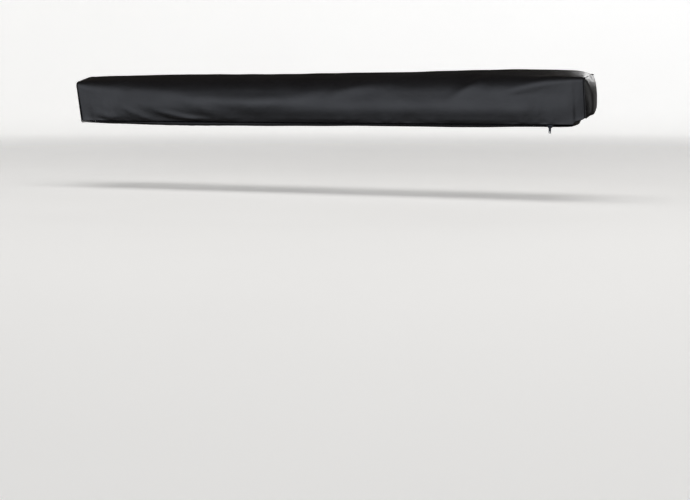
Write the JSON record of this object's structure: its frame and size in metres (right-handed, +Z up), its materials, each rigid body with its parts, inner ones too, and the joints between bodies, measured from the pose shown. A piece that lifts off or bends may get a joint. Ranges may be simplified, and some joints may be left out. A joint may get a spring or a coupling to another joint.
{
  "type": "vehicle side awning in a zipped travel bag",
  "caption": "Roll-out vehicle side awning stowed in its long black zipped PVC bag, with aluminium backing rail, folded legs, rafters and rack brackets.",
  "frame": {"origin": "mid-length on the back plane of the aluminium rail, level with the undersides of the two mounting brackets", "axes": "+X along the bag towards the end that carries the zip slider, -Y away from the vehicle, +Z up"},
  "size_m": [2.1464, 0.2291, 0.2294],
  "materials": {
    "black_vinyl": "black PVC-coated fabric, satin",
    "welt_vinyl": "black PVC welt, satin",
    "grey_canvas": "coated polyester-cotton canvas, matt",
    "black_webbing": "woven polypropylene webbing",
    "black_nylon": "moulded glass-filled nylon",
    "anodised": "clear anodised extrusion",
    "black_steel": "black powder coat on steel",
    "zinc": "zinc plated"
  },
  "bodies": {
    "frame": {"backing_rail": "anodised", "bracket_bolt_front_lower": "zinc", "bracket_bolt_front_upper": "zinc", "bracket_bolt_rear_lower": "zinc", "bracket_bolt_rear_upper": "zinc", "canopy_sheet": "grey_canvas", "cover_bottom_bead_strip": "black_vinyl", "cover_bottom_panel": "black_vinyl", "cover_top_bead_strip": "black_vinyl", "front_bar": "anodised", "front_bar_end_cap_left": "black_nylon", "front_bar_end_cap_right": "black_nylon", "leg_left_outer_tube": "anodised", "leg_left_pivot_pin": "zinc", "leg_right_outer_tube": "anodised", "leg_right_pivot_pin": "zinc", "mounting_bracket_front": "black_steel", "mounting_bracket_rear": "black_steel", "rafter_bracket_left": "black_steel", "rafter_bracket_right": "black_steel", "rafter_bracket_screw_left_lower": "zinc", "rafter_bracket_screw_left_upper": "zinc", "rafter_bracket_screw_right_lower": "zinc", "rafter_bracket_screw_right_upper": "zinc", "rafter_pivot_pin_left": "zinc", "rafter_pivot_pin_right": "zinc", "rail_end_cap_left": "black_nylon", "rail_end_cap_right": "black_nylon", "roll_strap_left": "black_webbing", "roll_strap_right": "black_webbing", "zip_lower_tape": "black_nylon"},
    "cover": {"cover_front_panel": "black_vinyl", "cover_end_panel_left": "black_vinyl", "cover_end_panel_right": "black_vinyl", "cover_end_welt_left": "welt_vinyl", "cover_end_welt_right": "welt_vinyl", "zip_upper_tape": "black_nylon"},
    "rafter_left_outer": {"rafter_left_knuckle": "black_nylon", "rafter_left_outer_tube": "anodised"},
    "rafter_left_outer_twist": {"rafter_left_outer_collar": "black_nylon"},
    "rafter_left_middle": {"rafter_left_middle_tube": "anodised"},
    "rafter_left_middle_twist": {"rafter_left_middle_collar": "black_nylon"},
    "rafter_left_inner": {"rafter_left_inner_tube": "anodised", "rafter_left_tip": "black_nylon"},
    "rafter_right_outer": {"rafter_right_knuckle": "black_nylon", "rafter_right_outer_tube": "anodised"},
    "rafter_right_outer_twist": {"rafter_right_outer_collar": "black_nylon"},
    "rafter_right_middle": {"rafter_right_middle_tube": "anodised"},
    "rafter_right_middle_twist": {"rafter_right_middle_collar": "black_nylon"},
    "rafter_right_inner": {"rafter_right_inner_tube": "anodised", "rafter_right_tip": "black_nylon"},
    "leg_left_twist": {"leg_left_collar": "black_nylon"},
    "leg_left_inner": {"leg_left_inner_tube": "anodised", "leg_left_foot": "black_nylon"},
    "leg_right_twist": {"leg_right_collar": "black_nylon"},
    "leg_right_inner": {"leg_right_inner_tube": "anodised", "leg_right_foot": "black_nylon"},
    "zip_slider": {"zip_slider": "zinc"},
    "zip_pull": {"zip_pull": "zinc"}
  },
  "joints": [
    {"name": "cover_opening", "type": "hinge", "parent": "frame", "child": "cover", "pos_m": [0, -0.005, 0.15], "axis": [-1, 0, 0], "range_deg": [0, 200]},
    {"name": "rafter_left_swing", "type": "hinge", "parent": "frame", "child": "rafter_left_outer", "pos_m": [-0.905, -0.0215, -0.016], "axis": [0, 0, -1], "range_deg": [0, 90]},
    {"name": "rafter_left_outer_lock", "type": "hinge", "parent": "rafter_left_outer", "child": "rafter_left_outer_twist", "pos_m": [-0.23, -0.0215, -0.016], "axis": [-1, 0, 0], "range_deg": [0, 60]},
    {"name": "rafter_left_middle_slide", "type": "slide", "parent": "rafter_left_outer", "child": "rafter_left_middle", "axis": [1, 0, 0], "range_m": [0, 0.54]},
    {"name": "rafter_left_middle_lock", "type": "hinge", "parent": "rafter_left_middle", "child": "rafter_left_middle_twist", "pos_m": [-0.19, -0.0215, -0.016], "axis": [-1, 0, 0], "range_deg": [0, 60]},
    {"name": "rafter_left_inner_slide", "type": "slide", "parent": "rafter_left_middle", "child": "rafter_left_inner", "axis": [1, 0, 0], "range_m": [0, 0.5]},
    {"name": "rafter_right_swing", "type": "hinge", "parent": "frame", "child": "rafter_right_outer", "pos_m": [0.905, -0.0525, -0.016], "axis": [0, 0, 1], "range_deg": [0, 90]},
    {"name": "rafter_right_outer_lock", "type": "hinge", "parent": "rafter_right_outer", "child": "rafter_right_outer_twist", "pos_m": [0.23, -0.0525, -0.016], "axis": [1, 0, 0], "range_deg": [0, 60]},
    {"name": "rafter_right_middle_slide", "type": "slide", "parent": "rafter_right_outer", "child": "rafter_right_middle", "axis": [-1, 0, 0], "range_m": [0, 0.54]},
    {"name": "rafter_right_middle_lock", "type": "hinge", "parent": "rafter_right_middle", "child": "rafter_right_middle_twist", "pos_m": [0.19, -0.0525, -0.016], "axis": [1, 0, 0], "range_deg": [0, 60]},
    {"name": "rafter_right_inner_slide", "type": "slide", "parent": "rafter_right_middle", "child": "rafter_right_inner", "axis": [-1, 0, 0], "range_m": [0, 0.5]},
    {"name": "leg_left_lock", "type": "hinge", "parent": "frame", "child": "leg_left_twist", "pos_m": [0, -0.066, 0.0801], "axis": [-1, 0, 0], "range_deg": [0, 60]},
    {"name": "leg_left_slide", "type": "slide", "parent": "frame", "child": "leg_left_inner", "axis": [1, 0, 0], "range_m": [0, 0.8]},
    {"name": "leg_right_lock", "type": "hinge", "parent": "frame", "child": "leg_right_twist", "pos_m": [0, -0.066, 0.0519], "axis": [1, 0, 0], "range_deg": [0, 60]},
    {"name": "leg_right_slide", "type": "slide", "parent": "frame", "child": "leg_right_inner", "axis": [-1, 0, 0], "range_m": [0, 0.8]},
    {"name": "zip_run", "type": "slide", "parent": "frame", "child": "zip_slider", "axis": [-1, 0, 0], "range_m": [0, 1.94]},
    {"name": "zip_pull_swing", "type": "hinge", "parent": "zip_slider", "child": "zip_pull", "pos_m": [0.93, -0.1201, -0.036], "axis": [-1, 0, 0], "range_deg": [0, 120]}
  ],
  "couplings": [
    {"joint": "rafter_left_swing", "follows": "cover_opening", "ratio": 0.45},
    {"joint": "rafter_right_swing", "follows": "cover_opening", "ratio": 0.45}
  ]
}
